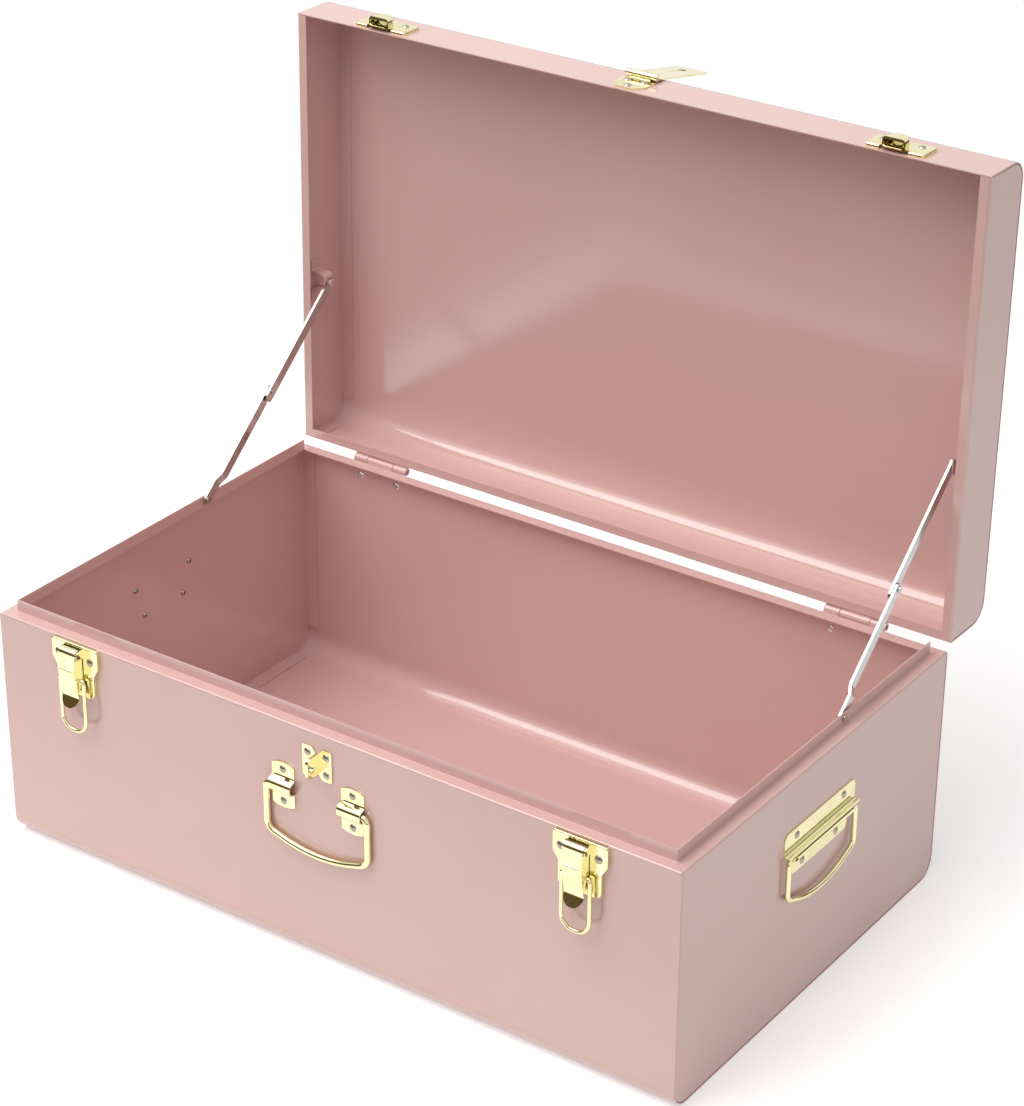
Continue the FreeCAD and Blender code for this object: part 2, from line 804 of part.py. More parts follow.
def hasp_fold_angle():
    """Turn from shut, hanging straight down, to lying back against the lid's rounded front corner."""
    corner_y = front + bend_radius
    corner_z = lid_top - bend_radius
    away_y = corner_y - (front - hasp_axis_out)
    away_z = corner_z - hasp_z
    reach = math.hypot(away_y, away_z)
    offset = bend_radius + hasp_strap_offset + hasp_strap_sheet / 2 + hasp_rest_gap
    lean = math.atan2(away_z, away_y) + math.asin(offset / reach)
    return 270 - math.degrees(lean)


def hasp_strap():
    """The swinging leaf, drawn hanging shut over the staple, then folded back as it rests when open."""
    wide = hasp_barrel_length / 2
    narrow = hasp_strap_end_width / 2
    start_out = hasp_axis_out + hasp_strap_offset - hasp_strap_sheet / 2
    low = hasp_z - hasp_strap_length
    middle = hasp_mid_length / 2 + hasp_knuckle_gap
    clear_z = hasp_z - hasp_barrel_radius - running_gap
    points = [
        front_point(-wide, start_out, hasp_z),
        front_point(-narrow, start_out, low),
        front_point(narrow, start_out, low),
        front_point(wide, start_out, hasp_z),
    ]
    strap = prism(points, [0, hasp_strap_corner, hasp_strap_corner, 0], -BACK * hasp_strap_sheet)
    spans = [(-wide, -middle), (middle, wide)]
    for start, finish in spans:
        knuckle_at = front_point(start, hasp_axis_out, hasp_z)
        strap = strap.fuse(cylinder(hasp_barrel_radius, knuckle_at, ACROSS * (finish - start)))
    strap = strap.cut(box(-middle, middle, front - 2 * hasp_axis_out, front + seam, clear_z, lid_top))
    slot = staple_sheet + hasp_slot_clearance
    fin_half = fin_height / 2 + hasp_slot_clearance
    slot_points = [
        front_point(-slot, -sheet, staple_z - fin_half),
        front_point(slot, -sheet, staple_z - fin_half),
        front_point(slot, -sheet, staple_z + fin_half),
        front_point(-slot, -sheet, staple_z + fin_half),
    ]
    strap = strap.cut(prism(slot_points, [slot - seam] * 4, -BACK * (2 * hasp_axis_out + sheet)))
    axis = front_point(0, hasp_axis_out, hasp_z)
    strap = drilled(strap, [axis], ACROSS, hasp_pin_radius + pin_clearance).removeSplitter()
    strap.rotate(axis, ACROSS, -hasp_fold_angle())
    return strap


def staple_rivets_at():
    return [(a * staple_rivet_span / 2, staple_z + b * staple_rivet_rise / 2)
            for a in (-1, 1) for b in (-1, 1)]


def padlock_staple():
    """A sheet folded double into a drilled fin, its two wings riveted to the front wall."""
    wide = staple_width / 2
    tall = staple_height / 2
    notch = staple_notch / 2
    lobe = wide - staple_lobe_width
    points = [
        front_point(x, 0, staple_z + z)
        for x, z in (
            (-wide, -tall), (-lobe, -tall), (-staple_sheet, -notch),
            (staple_sheet, -notch), (lobe, -tall), (wide, -tall),
            (wide, tall), (lobe, tall), (staple_sheet, notch),
            (-staple_sheet, notch), (-lobe, tall), (-wide, tall),
        )
    ]
    corner = staple_corner
    radii = [corner, corner, 0, 0, corner, corner] * 2
    wings = prism(points, radii, -BACK * staple_sheet)
    half = fin_height / 2
    fin_points = [
        front_point(-staple_sheet, 0, staple_z - half),
        front_point(-staple_sheet, fin_out, staple_z - half),
        front_point(-staple_sheet, fin_out, staple_z + half),
        front_point(-staple_sheet, 0, staple_z + half),
    ]
    fin = prism(fin_points, [0, fin_corner, fin_corner, 0], ACROSS * (2 * staple_sheet))
    staple = wings.fuse(fin)
    staple = drilled(staple, [V(x, front, z) for x, z in staple_rivets_at()], -BACK)
    return drilled(staple, [front_point(0, fin_hole_out, staple_z)], ACROSS, fin_hole_radius).removeSplitter()


def clip_rivets_at():
    return [(a * clip_spacing / 2, clip_z + b * clip_rivet_spacing / 2) for a in (-1, 1) for b in (-1, 1)]


def handle_clip():
    """A strap clip: two riveted tabs and a half-round saddle over the bail's end."""
    half = clip_width / 2
    tall = clip_height / 2
    saddle = bail_wire_radius + bail_clip_gap + clip_sheet
    crown = bail_out + saddle
    sag = clip_end_radius - math.sqrt(clip_end_radius ** 2 - half ** 2)
    edges = [
        Part.Arc(front_point(-half, 0, clip_z + tall - sag), front_point(0, 0, clip_z + tall),
                 front_point(half, 0, clip_z + tall - sag)).toShape(),
        line(front_point(half, 0, clip_z + tall - sag), front_point(half, 0, clip_z - tall + sag)),
        Part.Arc(front_point(half, 0, clip_z - tall + sag), front_point(0, 0, clip_z - tall),
                 front_point(-half, 0, clip_z - tall + sag)).toShape(),
        line(front_point(-half, 0, clip_z - tall + sag), front_point(-half, 0, clip_z + tall - sag)),
    ]
    plan = Part.Face(Part.Wire(edges)).extrude(-BACK * (crown + clip_sheet))
    flank = saddle + clip_sheet
    points = [
        front_point(-half, 0, clip_z - tall),
        front_point(-half, 0, clip_z - flank),
        front_point(-half, crown - clip_sheet, clip_z - saddle + clip_sheet),
        front_point(-half, crown - clip_sheet, clip_z + saddle - clip_sheet),
        front_point(-half, 0, clip_z + flank),
        front_point(-half, 0, clip_z + tall),
    ]
    inner = bail_wire_radius
    bends = [clip_sheet, inner, inner, clip_sheet]
    clip = folded(points, bends, clip_sheet, ACROSS, ACROSS * clip_width).common(plan)
    holes = [front_point(0, 0, clip_z + b * clip_rivet_spacing / 2) for b in (-1, 1)]
    return drilled(clip, holes, -BACK)


def bail_points(half, stub, drop, bow):
    """The bent line of a carry handle: two turned-in ends, two legs and a bowed grip."""
    left = [(-half + stub, 0), (-half, 0), (-half, -drop)]
    right = [(half, -drop), (half, 0), (half - stub, 0)]
    return left + [(0, -drop - bow)] + right


def front_bail():
    points = [front_point(x, bail_out, clip_z + z)
              for x, z in bail_points(bail_half_width, bail_stub, bail_drop, bail_bow)]
    radii = [bail_top_radius, bail_corner_radius, bail_bow_radius, bail_corner_radius, bail_top_radius]
    return wire_rod(points, radii, bail_wire_radius)


def side_rivets_at():
    top = side_z + side_rivet_top_rise
    low = side_z - side_rivet_low_drop
    half_top = side_rivet_top_spacing / 2
    half_low = side_rivet_low_spacing / 2
    return [(-half_top, top), (half_top, top), (-half_low, low), (half_low, low)]


def side_plate():
    """The right handle's plate: a flat sheet with a ledge and a rolled bead that the bail's ends turn in."""
    saddle = side_wire_radius + side_wire_gap + side_sheet
    wide = side_plate_width / 2
    foot = wide - side_foot_inset
    top = side_z + side_plate_top
    low = side_z - side_plate_bottom
    step = side_z + side_plate_ends
    axis = V(end + side_wire_out, 0, side_z)
    upper_points = [V(end, -wide, step), V(end, wide, step), V(end, wide, top), V(end, -wide, top)]
    lower_points = [V(end, -foot, low), V(end, foot, low), V(end, foot, side_z), V(end, -foot, side_z)]
    small = side_sheet
    plate = prism(upper_points, [small, small, side_corner, side_corner], ACROSS * side_sheet)
    plate = plate.fuse(prism(lower_points, [side_corner, side_corner, 0, 0], ACROSS * side_sheet))
    plate = plate.fuse(box(end, axis.x, -foot, foot, side_z - saddle, side_z + saddle))
    plate = plate.fuse(cylinder(saddle, axis - BACK * foot, BACK * (2 * foot)))
    ledge_top = side_z + saddle
    plate = plate.fuse(box(end, axis.x, -wide, wide, step, ledge_top))
    roll = cylinder(saddle, axis - BACK * wide, BACK * (2 * wide))
    plate = plate.fuse(roll.common(box(axis.x, axis.x + saddle, -wide, wide, step, ledge_top)))
    fold = V(end + side_sheet + side_fold_radius, 0, ledge_top + side_fold_radius)
    corner = box(end + side_sheet, fold.x, -wide, wide, ledge_top, fold.z)
    plate = plate.fuse(corner.cut(cylinder(side_fold_radius, fold - BACK * wide, BACK * (2 * wide))))
    bore = side_wire_radius + side_wire_gap
    plate = drilled(plate, [axis], BACK, bore, side_plate_width)
    return drilled(plate, [V(end, y, z) for y, z in side_rivets_at()], ACROSS).removeSplitter()


def side_bail():
    half = side_plate_width / 2 - side_bail_inset
    stub = side_foot_inset - side_bail_inset + side_corner
    x = end + side_wire_out
    points = [V(x, y, side_z + z) for y, z in bail_points(half, stub, side_bail_drop, side_bail_bow)]
    corner = side_bail_corner_radius
    radii = [side_bail_top_radius, corner, side_bail_bow_radius, corner, side_bail_top_radius]
    return wire_rod(points, radii, side_wire_radius)


def stay_ends():
    """The stay's base pin and lid pin in the side view, with the lid standing open."""
    low = V(0, stay_y, stay_z)
    high = V(0, stay_y - hinge_y, stay_lid_z - hinge_z)
    turn = FreeCAD.Rotation(ACROSS, -lid_open_angle)
    high = turn.multVec(high) + V(0, hinge_y, hinge_z)
    return low, high


def stay_link(start, finish, outside, joggled):
    """A flat bar with rounded ends on the right-hand side, its outer face at a given place across."""
    run = finish - start
    reach = run.Length
    angle = math.degrees(math.atan2(run.z, run.y))
    half = stay_width / 2
    plan_points = [V(0, -half, -half), V(0, reach + half, -half), V(0, reach + half, half), V(0, -half, half)]
    corner = half - seam
    plan = prism(plan_points, [corner] * 4, -ACROSS * (2 * end))
    plan.translate(ACROSS * end)
    if joggled:
        slope = stay_joggle_start + stay_joggle_run
        points = [
            V(outside, -half, -half),
            V(outside, stay_joggle_start, -half),
            V(outside - joggle, slope, -half),
            V(outside - joggle, reach + half, -half),
        ]
        bends = [stay_joggle_radius, stay_joggle_radius]
        bar = folded(points, bends, stay_sheet, UP, UP * stay_width)
    else:
        bar = box(outside - stay_sheet, outside, -half, reach + half, -half, half)
    bar = bar.common(plan)
    bar.rotate(V(0, 0, 0), ACROSS, angle)
    bar.translate(V(0, start.y, start.z))
    return bar


def stay_lower():
    """Lower bar of the right stay, pinned to the base's lip and set inwards above its pin."""
    low, high = stay_ends()
    elbow = (low + high) * 0.5
    along = (elbow - low).normalize()
    below = V(0, along.z, -along.y)
    bar = stay_link(low, elbow, stay_low_outside, True)
    notch_at = elbow - along * stay_notch_run + below * (stay_width / 2)
    bar = bar.cut(cylinder(stay_notch, notch_at, ACROSS * end))
    tail_face = stay_low_outside - joggle
    tail = cylinder(rivet_tail_radius, V(tail_face, elbow.y, elbow.z), ACROSS * rivet_tail_height)
    bar = bar.fuse(tail)
    radius = stay_rivet_radius + pin_clearance
    return drilled(bar, [V(end, low.y, low.z)], ACROSS, radius).removeSplitter()


def upper_outside():
    return stay_low_outside - joggle - stay_sheet - stay_elbow_gap


def stay_upper():
    """Upper bar of the right stay, pinned to the lid's bracket and running a little past the elbow."""
    low, high = stay_ends()
    elbow = (low + high) * 0.5
    past = (high - low).normalize() * stay_elbow_past
    bar = stay_link(elbow - past, high, upper_outside(), False)
    radius = stay_rivet_radius + pin_clearance
    return drilled(bar, [V(end, high.y, high.z), V(end, elbow.y, elbow.z)], ACROSS, radius)


def headed_pin(start, along, radius, head_radius=stay_head_radius, head_height=stay_head_height):
    """A pin with a flat rounded head standing off its far end."""
    finish = start + along
    direction = V(along).normalize()
    head = cylinder(head_radius, finish, direction * head_height)
    rim_edges = [e for e in head.Edges if len(e.Vertexes) == 1
                 and abs((e.Vertexes[0].Point - finish).dot(direction) - head_height) < seam]
    head = head.makeFillet(head_height / 2, rim_edges)
    return cylinder(radius, start, along).fuse(head)


def stay_elbow_rivet():
    """Elbow rivet with its spacing washer, carried by the upper bar."""
    low, high = stay_ends()
    elbow = (low + high) * 0.5
    outside = upper_outside()
    washer = stay_elbow_gap - running_gap
    start = V(outside + washer, elbow.y, elbow.z)
    reach = stay_sheet + washer + pin_clearance
    pin = headed_pin(start, -ACROSS * reach, stay_rivet_radius, elbow_head_radius, elbow_head_height)
    spacer = cylinder(stay_head_radius, V(outside, elbow.y, elbow.z), ACROSS * washer)
    return pin.fuse(spacer).removeSplitter()


def stay_base_rivet():
    """Rivet through the lip and the lower bar: flat head inside, small head on the lip's outer face."""
    outer = end - ledge_width
    inner = stay_low_outside - stay_sheet - pin_clearance
    at = V(outer, stay_y, stay_z)
    pin = headed_pin(at, V(inner - outer, 0, 0), stay_rivet_radius)
    return pin.fuse(cylinder(rivet_tail_radius, at, ACROSS * rivet_tail_height)).removeSplitter()


def bracket_face():
    """Place across of the inner face of the bracket's ear, where the upper bar turns."""
    return upper_outside() + stay_gap


def stay_bracket():
    """Hat-shaped bracket on the right end of the shut lid: two welded feet and a face beside the bar."""
    wall = end - sheet
    ear = bracket_face()
    near = stay_y - bracket_ear
    far = stay_y + bracket_ear
    low = V(0, 0, stay_lid_z - bracket_width / 2)
    points = [
        low + V(wall, near - bracket_sheet - bracket_foot, 0),
        low + V(wall, near, 0),
        low + V(ear + bracket_sheet, near, 0),
        low + V(ear + bracket_sheet, far, 0),
        low + V(wall, far, 0),
        low + V(wall, far + bracket_sheet + bracket_foot, 0),
    ]
    bends = [bracket_fold_radius] * 4
    body = folded(points, bends, bracket_sheet, UP, UP * bracket_width)
    radius = stay_rivet_radius + pin_clearance
    return drilled(body, [V(ear, stay_y, stay_lid_z)], ACROSS, radius, bracket_foot)


def bracket_pin():
    """Pivot rivet of the upper bar, headed on both sides."""
    outer = bracket_face() + bracket_sheet
    inner = upper_outside() - stay_sheet - pin_clearance
    at = V(outer, stay_y, stay_lid_z)
    pin = headed_pin(at, V(inner - outer, 0, 0), stay_rivet_radius)
    return pin.fuse(cylinder(rivet_tail_radius, at, ACROSS * rivet_tail_height)).removeSplitter()


def group(solids):
    return Part.Compound(solids)


def build():
    """Every piece of the trunk, by name, with the lid standing open."""
    parts = {}
    parts["base_wrap"] = base_wrap()
    parts["base_end_right"] = base_end()
    parts["base_end_left"] = mirrored(parts["base_end_right"])
    parts["lid_wrap"] = opened(lid_wrap())
    lid_right = lid_end()
    parts["lid_end_right"] = opened(lid_right)
    parts["lid_end_left"] = opened(mirrored(lid_right))

    middle, outer = hinge_spans()
    for side, name in ((-1, "left"), (1, "right")):
        x = side * hinge_x
        base_own, lid_own = (middle, outer) if side < 0 else (outer, middle)
        parts["hinge_base_leaf_" + name] = moved(hinge_leaf_piece(base_own, lid_own, False), x)
        parts["hinge_lid_leaf_" + name] = opened(moved(hinge_leaf_piece(lid_own, base_own, True), x))
        parts["hinge_pin_" + name] = moved(hinge_pin(), x)
    leaf_grip = hinge_leaf + sheet
    for side, name in ((-1, "left"), (1, "right")):
        holes = [V(x, 0, z) for x, z in hinge_rivets_at() if x * side > 0]
        parts["hinge_base_leaf_" + name] = drilled(parts["hinge_base_leaf_" + name],
                                                   [V(h.x, rear, h.z) for h in holes], BACK)
    parts["hinge_rivets"] = group([
        rivet(V(x, rear + hinge_leaf, z), BACK, leaf_grip, rivet_head_radius, hinge_rivet_tail_radius)
        for x, z in hinge_rivets_at()
    ])

    for side, name in ((-1, "left"), (1, "right")):
        x = side * latch_x
        parts["latch_plate_" + name] = moved(latch_plate(), x)
        parts["latch_pin_" + name] = moved(latch_pin(), x)
        parts["latch_lever_" + name] = moved(latch_lever(), x)
        parts["latch_loop_" + name] = moved(latch_loop(), x)
        parts["strike_" + name] = opened(moved(strike(), x))
    tray_grip = tray_depth + sheet
    parts["latch_rivets"] = group([
        rivet(V(x, front - tray_depth, z), -BACK, tray_grip, latch_rivet_head_radius)
        for x, z in latch_rivets_at()
    ])
    strike_grip = strike_height + sheet
    parts["strike_rivets"] = group([opened(rivet(V(x, front - strike_height, z), -BACK, strike_grip))
                                    for x, z in strike_rivets_at()])

    parts["hasp_plate"] = opened(hasp_plate())
    parts["hasp_pin"] = opened(hasp_pin())
    parts["hasp_strap"] = opened(hasp_strap())
    hasp_grip = hasp_sheet + sheet
    parts["hasp_rivets"] = group([opened(rivet(V(x, front - hasp_sheet, z), -BACK, hasp_grip))
                                  for x, z in hasp_rivets_at()])

    parts["padlock_staple"] = padlock_staple()
    staple_grip = staple_sheet + sheet
    parts["staple_rivets"] = group([rivet(V(x, front - staple_sheet, z), -BACK, staple_grip)
                                    for x, z in staple_rivets_at()])

    for side, name in ((-1, "left"), (1, "right")):
        parts["handle_clip_" + name] = moved(handle_clip(), side * clip_spacing / 2)
    parts["front_handle_bail"] = front_bail()
    clip_grip = clip_sheet + sheet
    parts["handle_clip_rivets"] = group([rivet(V(x, front - clip_sheet, z), -BACK, clip_grip)
                                         for x, z in clip_rivets_at()])

    side_grip = side_sheet + sheet
    right_rivets = group([rivet(V(end + side_sheet, y, z), ACROSS, side_grip) for y, z in side_rivets_at()])
    right_pieces = {
        "side_handle_plate": side_plate(),
        "side_handle_bail": side_bail(),
        "side_handle_rivets": right_rivets,
        "stay_lower": stay_lower(),
        "stay_upper": stay_upper(),
        "stay_elbow_rivet": stay_elbow_rivet(),
        "stay_base_rivet": stay_base_rivet(),
    }
    lid_pieces = {
        "stay_bracket": stay_bracket(),
        "stay_lid_rivet": bracket_pin(),
    }
    for name, shape in right_pieces.items():
        parts[name + "_right"] = shape
        parts[name + "_left"] = mirrored(shape)
    for name, shape in lid_pieces.items():
        parts[name + "_right"] = opened(shape)
        parts[name + "_left"] = opened(mirrored(shape))
    return parts


os.makedirs("parts", exist_ok=True)
pieces = build()
for node, piece in pieces.items():
    piece.exportStep("parts/" + node + ".step")
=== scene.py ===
import bpy
from mathutils import Matrix, Vector

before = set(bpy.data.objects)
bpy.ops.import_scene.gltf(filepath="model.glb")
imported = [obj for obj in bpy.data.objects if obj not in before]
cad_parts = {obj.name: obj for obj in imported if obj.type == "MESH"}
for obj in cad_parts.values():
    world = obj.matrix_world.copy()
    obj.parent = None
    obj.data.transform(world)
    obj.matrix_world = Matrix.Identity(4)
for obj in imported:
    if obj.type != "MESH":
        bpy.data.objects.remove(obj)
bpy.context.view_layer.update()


# Base of the trunk: one steel sheet folded into front, floor and back, with two flanged end panels
# let into it. Both are sprayed inside and out with a blush pink satin enamel.
BLUSH_PINK = (0.668, 0.436, 0.400, 1.0)
BLUSH_PINK_THIN = (0.648, 0.414, 0.378, 1.0)
ENAMEL_SPECULAR = 0.92
ENAMEL_ROUGHNESS = (0.11, 0.17)
CLOUD_SCALE, CLOUD_DETAIL = 7.0, 3.0
CLOUD_EDGES = (0.3, 0.7)
PEEL_SCALE, PEEL_DETAIL = 420.0, 1.0
PEEL_STRENGTH, PEEL_DEPTH = 0.05, 0.0004


def new_surface(name):
    material = bpy.data.materials.new(name)
    material.use_nodes = True
    tree = material.node_tree
    return material, tree, tree.nodes["Principled BSDF"]


def object_noise(tree, scale, detail):
    place = tree.nodes.new("ShaderNodeTexCoord")
    noise = tree.nodes.new("ShaderNodeTexNoise")
    noise.inputs["Scale"].default_value = scale
    noise.inputs["Detail"].default_value = detail
    tree.links.new(place.outputs["Object"], noise.inputs["Vector"])
    return noise.outputs["Fac"]


def vary_colour(tree, shader, amount, colours, edges):
    tone = tree.nodes.new("ShaderNodeValToRGB")
    for stop, colour, edge in zip(tone.color_ramp.elements, colours, edges):
        stop.position = edge
        stop.color = colour
    tree.links.new(amount, tone.inputs["Fac"])
    tree.links.new(tone.outputs["Color"], shader.inputs["Base Color"])


def vary_roughness(tree, shader, amount, limits):
    spread = tree.nodes.new("ShaderNodeMapRange")
    spread.inputs["To Min"].default_value, spread.inputs["To Max"].default_value = limits
    tree.links.new(amount, spread.inputs["Value"])
    tree.links.new(spread.outputs["Result"], shader.inputs["Roughness"])


def dent(tree, shader, height, strength, depth):
    bump = tree.nodes.new("ShaderNodeBump")
    bump.inputs["Strength"].default_value = strength
    bump.inputs["Distance"].default_value = depth
    tree.links.new(height, bump.inputs["Height"])
    tree.links.new(bump.outputs["Normal"], shader.inputs["Normal"])


def blush_enamel(name):
    enamel, tree, shader = new_surface(name)
    shader.inputs["Specular IOR Level"].default_value = ENAMEL_SPECULAR
    cloud = object_noise(tree, CLOUD_SCALE, CLOUD_DETAIL)
    vary_colour(tree, shader, cloud, (BLUSH_PINK_THIN, BLUSH_PINK), CLOUD_EDGES)
    vary_roughness(tree, shader, cloud, ENAMEL_ROUGHNESS)
    peel = object_noise(tree, PEEL_SCALE, PEEL_DETAIL)
    dent(tree, shader, peel, PEEL_STRENGTH, PEEL_DEPTH)
    return enamel


def coat(material, *names):
    for name in names:
        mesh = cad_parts[name].data
        mesh.materials.clear()
        mesh.materials.append(material)


def pair(name):
    return [name + "_left", name + "_right"]


trunk_enamel = blush_enamel("blush_enamel")
coat(trunk_enamel, "base_wrap", *pair("base_end"))


# Lid: a shallow tray folded and flanged like the base, from the same sheet and in the same enamel.
# Its lower edge is turned in, to rest on the base's ledge when it is shut.
coat(trunk_enamel, "lid_wrap", *pair("lid_end"))


# Hinges: two steel butt hinges on the back, their leaves and pins sprayed with the trunk. The base leaves
# are held by bright steel rivets whose hollow tails are rolled over inside.
STEEL_SCALE, STEEL_DETAIL = 260.0, 4.0
STEEL_EDGES = (0.25, 0.75)
STEEL_SHADE = 0.86
STEEL_POLISH, STEEL_WEAR = 0.8, 1.3
BRIGHT_STEEL, BRIGHT_ROUGHNESS = (0.86, 0.86, 0.85), 0.20


def drawn_steel(name, tint, roughness):
    steel, tree, shader = new_surface(name)
    shader.inputs["Metallic"].default_value = 1.0
    grain = object_noise(tree, STEEL_SCALE, STEEL_DETAIL)
    shade = [STEEL_SHADE * channel for channel in tint]
    vary_colour(tree, shader, grain, (shade + [1.0], list(tint) + [1.0]), STEEL_EDGES)
    vary_roughness(tree, shader, grain, (roughness * STEEL_POLISH, roughness * STEEL_WEAR))
    return steel


bright_rivet_steel = drawn_steel("bright_rivet_steel", BRIGHT_STEEL, BRIGHT_ROUGHNESS)
coat(trunk_enamel, *pair("hinge_base_leaf"), *pair("hinge_lid_leaf"), *pair("hinge_pin"))
coat(bright_rivet_steel, "hinge_rivets")


# Draw latches: pressed steel plates, channel levers and bent wire loops, barrel-plated a pale bright gold.
# Each plate is held to the front wall by two dull steel rivets.
PALE_GOLD = (0.86, 0.80, 0.50, 1.0)
DEEP_GOLD = (0.80, 0.72, 0.39, 1.0)
GOLD_ROUGHNESS = (0.05, 0.12)
BATH_SCALE, BATH_DETAIL = 60.0, 3.0
BATH_EDGES = (0.3, 0.65)
PRESS_SCALE, PRESS_DETAIL, PRESS_DEPTH = 170.0, 0.5, 0.001
SHEET_RIPPLE, WIRE_RIPPLE = 0.03, 0.02
DULL_STEEL, DULL_ROUGHNESS = (0.44, 0.39, 0.33), 0.30


def gold_plating(name, ripple):
    gold, tree, shader = new_surface(name)
    shader.inputs["Metallic"].default_value = 1.0
    bath = object_noise(tree, BATH_SCALE, BATH_DETAIL)
    vary_colour(tree, shader, bath, (DEEP_GOLD, PALE_GOLD), BATH_EDGES)
    vary_roughness(tree, shader, bath, GOLD_ROUGHNESS)
    press = object_noise(tree, PRESS_SCALE, PRESS_DETAIL)
    dent(tree, shader, press, ripple, PRESS_DEPTH)
    return gold


pressed_gold = gold_plating("pressed_gold", SHEET_RIPPLE)
wire_gold = gold_plating("wire_gold", WIRE_RIPPLE)
dull_rivet_steel = drawn_steel("dull_rivet_steel", DULL_STEEL, DULL_ROUGHNESS)
coat(pressed_gold, *pair("latch_plate"), *pair("latch_lever"))
coat(wire_gold, *pair("latch_pin"), *pair("latch_loop"))
coat(dull_rivet_steel, "latch_rivets")


# Latch strikes: pressed steel plates on the lid's front wall, plated with the latches and held by two
# rivets each. A raised hood on each one gives the latch's wire loop an edge to hook behind.
coat(pressed_gold, *pair("strike"))
coat(dull_rivet_steel, "strike_rivets")


# Hasp on the lid and padlock staple on the base: stamped steel, plated with the latches and riveted on.
# The hasp's slotted strap turns on a pin and drops over the staple's pierced fin.
coat(pressed_gold, "hasp_plate", "hasp_strap", "padlock_staple")
coat(wire_gold, "hasp_pin")
coat(dull_rivet_steel, "hasp_rivets", "staple_rivets")


# Front carry handle: one length of steel wire bent to a bail and plated the same gold. Its ends turn in
# two strap clips, pressed over the wire and riveted to the front wall.
coat(pressed_gold, *pair("handle_clip"))
coat(wire_gold, "front_handle_bail")
coat(dull_rivet_steel, "handle_clip_rivets")


# Side carry handles: a gold-plated sheet on each end panel, held by four rivets, with a fold, a ledge and
# a rolled bead. A wire bail turns in the bead and hangs against the panel when it is let go.
coat(pressed_gold, *pair("side_handle_plate"))
coat(wire_gold, *pair("side_handle_bail"))
coat(dull_rivet_steel, *pair("side_handle_rivets"))


# Lid stays: two flat zinc-plated bars a side, riveted together at the elbow. The upper bar turns on a
# bracket welded inside the lid and sprayed with it, the lower one on the base's upturned lip.
ZINC, ZINC_ROUGHNESS = (0.56, 0.55, 0.54), 0.14

zinc_bar = drawn_steel("zinc_bar", ZINC, ZINC_ROUGHNESS)
coat(zinc_bar, *pair("stay_lower"), *pair("stay_upper"), *pair("stay_elbow_rivet"))
coat(dull_rivet_steel, *pair("stay_base_rivet"))
coat(trunk_enamel, *pair("stay_lid_rivet"), *pair("stay_bracket"))


# Table: a white paper top that the trunk stands on and that keeps its soft shadow. It is lifted a little
# towards white where the camera or a glossy surface sees it.
TABLE_LOW = (-0.64, -0.65)
TABLE_HIGH = (1.50, 1.40)
WHITE = (1.0, 1.0, 1.0, 1.0)
PAPER_WHITE = (0.86, 0.86, 0.86, 1.0)
PAPER_ROUGHNESS = 0.9
PAPER_LIFT = 0.36


def seen_rays(tree):
    rays = tree.nodes.new("ShaderNodeLightPath")
    seen = rays.outputs["Is Camera Ray"]
    for kind in ("Is Glossy Ray", "Is Transmission Ray"):
        either = tree.nodes.new("ShaderNodeMath")
        either.operation = "MAXIMUM"
        tree.links.new(seen, either.inputs[0])
        tree.links.new(rays.outputs[kind], either.inputs[1])
        seen = either.outputs[0]
    return seen


def show_instead(tree, plain, shown, surface):
    choose = tree.nodes.new("ShaderNodeMixShader")
    tree.links.new(seen_rays(tree), choose.inputs["Fac"])
    tree.links.new(plain, choose.inputs[1])
    tree.links.new(shown, choose.inputs[2])
    tree.links.new(choose.outputs["Shader"], surface.inputs["Surface"])


bpy.ops.object.select_all(action="DESELECT")
table_middle = [(low + high) / 2 for low, high in zip(TABLE_LOW, TABLE_HIGH)] + [0.0]
bpy.ops.mesh.primitive_plane_add(size=1.0, location=table_middle)
floor = bpy.context.object
floor.name = "studio_floor"
floor.scale = [high - low for low, high in zip(TABLE_LOW, TABLE_HIGH)] + [1.0]
bpy.ops.object.transform_apply(location=True, rotation=False, scale=True)

floor_paper, tree, paper = new_surface("studio_floor_paper")
paper.inputs["Base Color"].default_value = PAPER_WHITE
paper.inputs["Roughness"].default_value = PAPER_ROUGHNESS
white = tree.nodes.new("ShaderNodeEmission")
white.inputs["Color"].default_value = WHITE
white.inputs["Strength"].default_value = PAPER_LIFT
lift = tree.nodes.new("ShaderNodeAddShader")
tree.links.new(paper.outputs["BSDF"], lift.inputs[0])
tree.links.new(white.outputs["Emission"], lift.inputs[1])
show_instead(tree, paper.outputs["BSDF"], lift.outputs["Shader"], tree.nodes["Material Output"])
floor.data.materials.append(floor_paper)


# Surround: a plain white studio with an even fill of light. The camera and the gloss of paint and metal
# see it as white, and the fill that falls on the trunk is dimmer.
FILL_STRENGTH = 0.45
SHOWN_STRENGTH = 1.0


def backdrop(tree, strength):
    light = tree.nodes.new("ShaderNodeBackground")
    light.inputs["Color"].default_value = WHITE
    light.inputs["Strength"].default_value = strength
    return light.outputs["Background"]


world = bpy.data.worlds.new("studio_white")
bpy.context.scene.world = world
world.use_nodes = True
tree = world.node_tree
tree.nodes.clear()
show_instead(tree, backdrop(tree, FILL_STRENGTH), backdrop(tree, SHOWN_STRENGTH),
             tree.nodes.new("ShaderNodeOutputWorld"))


# Room round the set: a dark brown floor past the table's left and front edges, and two walls, all cards
# that glow a fixed dim brown as painted shade for the unlit room. They show only as painted dark
# reflections in the gold and painted soft shade in the enamel.
# Fixed dim brown glow of the room cards: painted shade, not lit by the lamps.
PAINTED_ROOM_SHADE = (0.12, 0.085, 0.04, 1.0)
ROOM_REACH = 8.0
ROOM_FLOOR = -0.02
WALL_TOP = 1.5
BACK_WALL = (0.8, 4.2), (4.2, 0.4)
FRONT_WALL = (-4.2, -0.6), (1.2, -4.2)


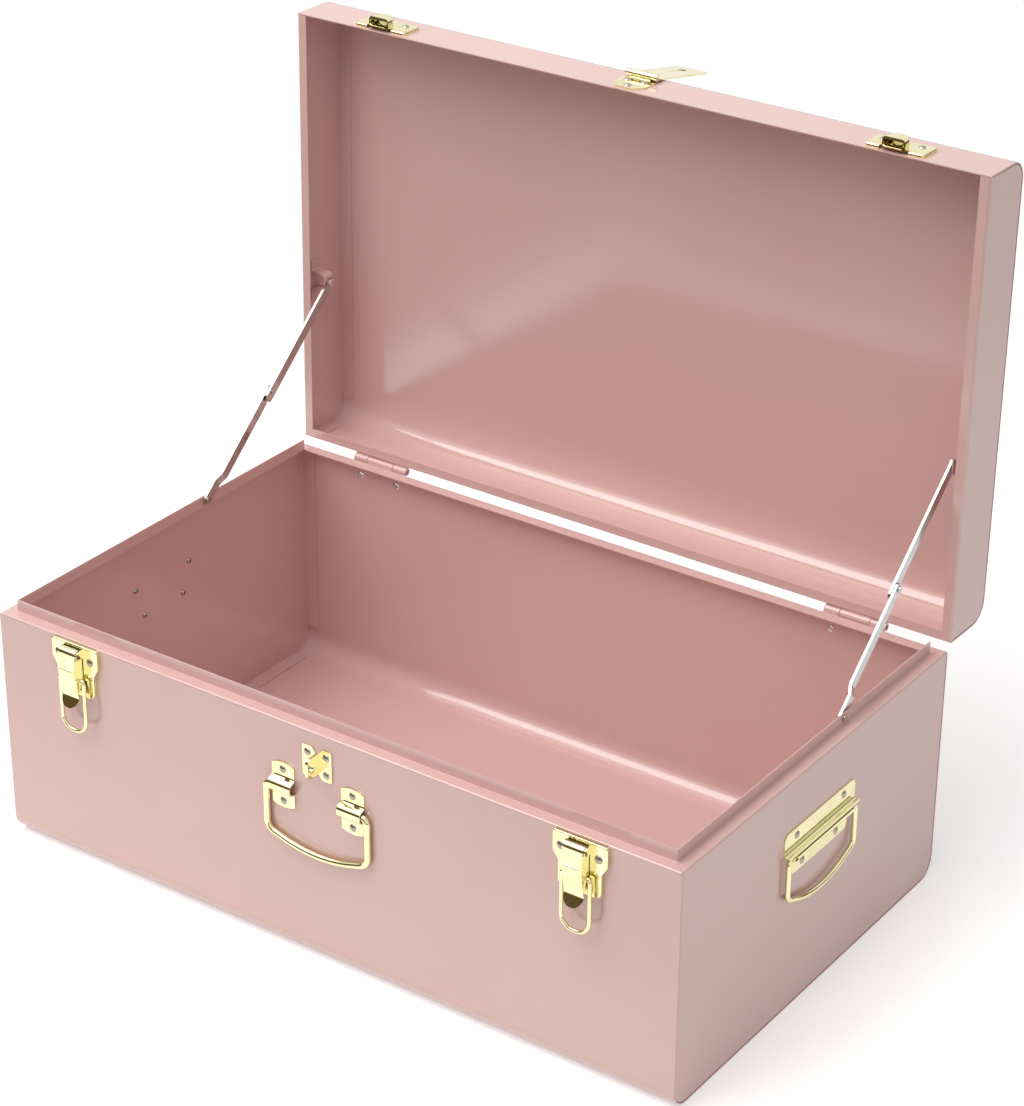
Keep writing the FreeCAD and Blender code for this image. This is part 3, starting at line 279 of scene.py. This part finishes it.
def dim_card(name, corners, in_fill):
    sheet = bpy.data.meshes.new(name)
    sheet.from_pydata(corners, [], [tuple(range(len(corners)))])
    card = bpy.data.objects.new(name, sheet)
    bpy.context.scene.collection.objects.link(card)
    painted_shade_glow = bpy.data.materials.new(name + "_felt")
    painted_shade_glow.use_nodes = True
    tree = painted_shade_glow.node_tree
    # Each card glows this painted shade instead of being lit, so it paints dark reflections and shade.
    glow = tree.nodes.new("ShaderNodeEmission")
    glow.inputs["Color"].default_value = PAINTED_ROOM_SHADE
    tree.links.new(glow.outputs["Emission"], tree.nodes["Material Output"].inputs["Surface"])
    sheet.materials.append(painted_shade_glow)
    card.visible_camera = False
    card.visible_shadow = False
    card.visible_diffuse = in_fill


def room_floor(name, low, high):
    outline = (low, (high[0], low[1]), high, (low[0], high[1]))
    dim_card(name, [(x, y, ROOM_FLOOR) for x, y in outline], True)


def room_wall(name, start, end):
    foot = [(*start, ROOM_FLOOR), (*end, ROOM_FLOOR)]
    head = [(*end, WALL_TOP), (*start, WALL_TOP)]
    dim_card(name, foot + head, False)


room_floor("room_left", (-ROOM_REACH, -ROOM_REACH), (TABLE_LOW[0], ROOM_REACH))
room_floor("room_front", (TABLE_LOW[0], -ROOM_REACH), (ROOM_REACH, TABLE_LOW[1]))
room_wall("room_right", *BACK_WALL)
room_wall("room_wall", *FRONT_WALL)


# Lamps: three large softboxes aimed at the middle of the base, the main one overhead. The two weaker ones
# lighten the front and the right end and don't show in the gloss.
LAMP_AIM = Vector((0.0, 0.0, 0.2))
OVERHEAD_AT, OVERHEAD_SIZE, OVERHEAD_WATTS = (-0.6, -0.7, 2.3), (2.4, 2.0), 54.0
FRONT_AT, FRONT_SIZE, FRONT_WATTS = (-1.2, -2.6, 1.5), (1.6, 1.6), 11.0
RIGHT_AT, RIGHT_SIZE, RIGHT_WATTS = (2.6, -0.5, 0.6), (1.4, 1.4), 5.0


def softbox(name, at, size, watts, in_gloss):
    lamp = bpy.data.lights.new(name, "AREA")
    lamp.shape = "RECTANGLE"
    lamp.size, lamp.size_y = size
    lamp.energy = watts
    box = bpy.data.objects.new(name, lamp)
    bpy.context.scene.collection.objects.link(box)
    box.location = at
    box.rotation_euler = (LAMP_AIM - Vector(at)).to_track_quat("-Z", "Y").to_euler()
    box.visible_glossy = in_gloss


softbox("overhead_softbox", OVERHEAD_AT, OVERHEAD_SIZE, OVERHEAD_WATTS, True)
softbox("front_softbox", FRONT_AT, FRONT_SIZE, FRONT_WATTS, False)
softbox("right_softbox", RIGHT_AT, RIGHT_SIZE, RIGHT_WATTS, False)


# Camera: a long lens at the trunk's front right, above the open lid, looking down into the base.
# Everything is in focus, and colours are shown plainly.
CAMERA_AT = (1.1929, -1.6449, 1.3229)
CAMERA_LOOK = (-0.5089, 0.7248, -0.4644)
CAMERA_RIGHT = (0.8168, 0.5769, 0.0053)
LENS_MM = 102.9
SENSOR_MM = 36.0

lens = bpy.data.cameras.new("photo_camera")
lens.sensor_width = SENSOR_MM
lens.lens = LENS_MM
camera = bpy.data.objects.new("photo_camera", lens)
bpy.context.scene.collection.objects.link(camera)
look = Vector(CAMERA_LOOK).normalized()
right = Vector(CAMERA_RIGHT)
right = (right - look * right.dot(look)).normalized()
up = right.cross(look)
turn = Matrix((right, up, -look)).transposed().to_4x4()
camera.matrix_world = Matrix.Translation(CAMERA_AT) @ turn
bpy.context.scene.camera = camera
bpy.context.scene.view_settings.view_transform = "Standard"
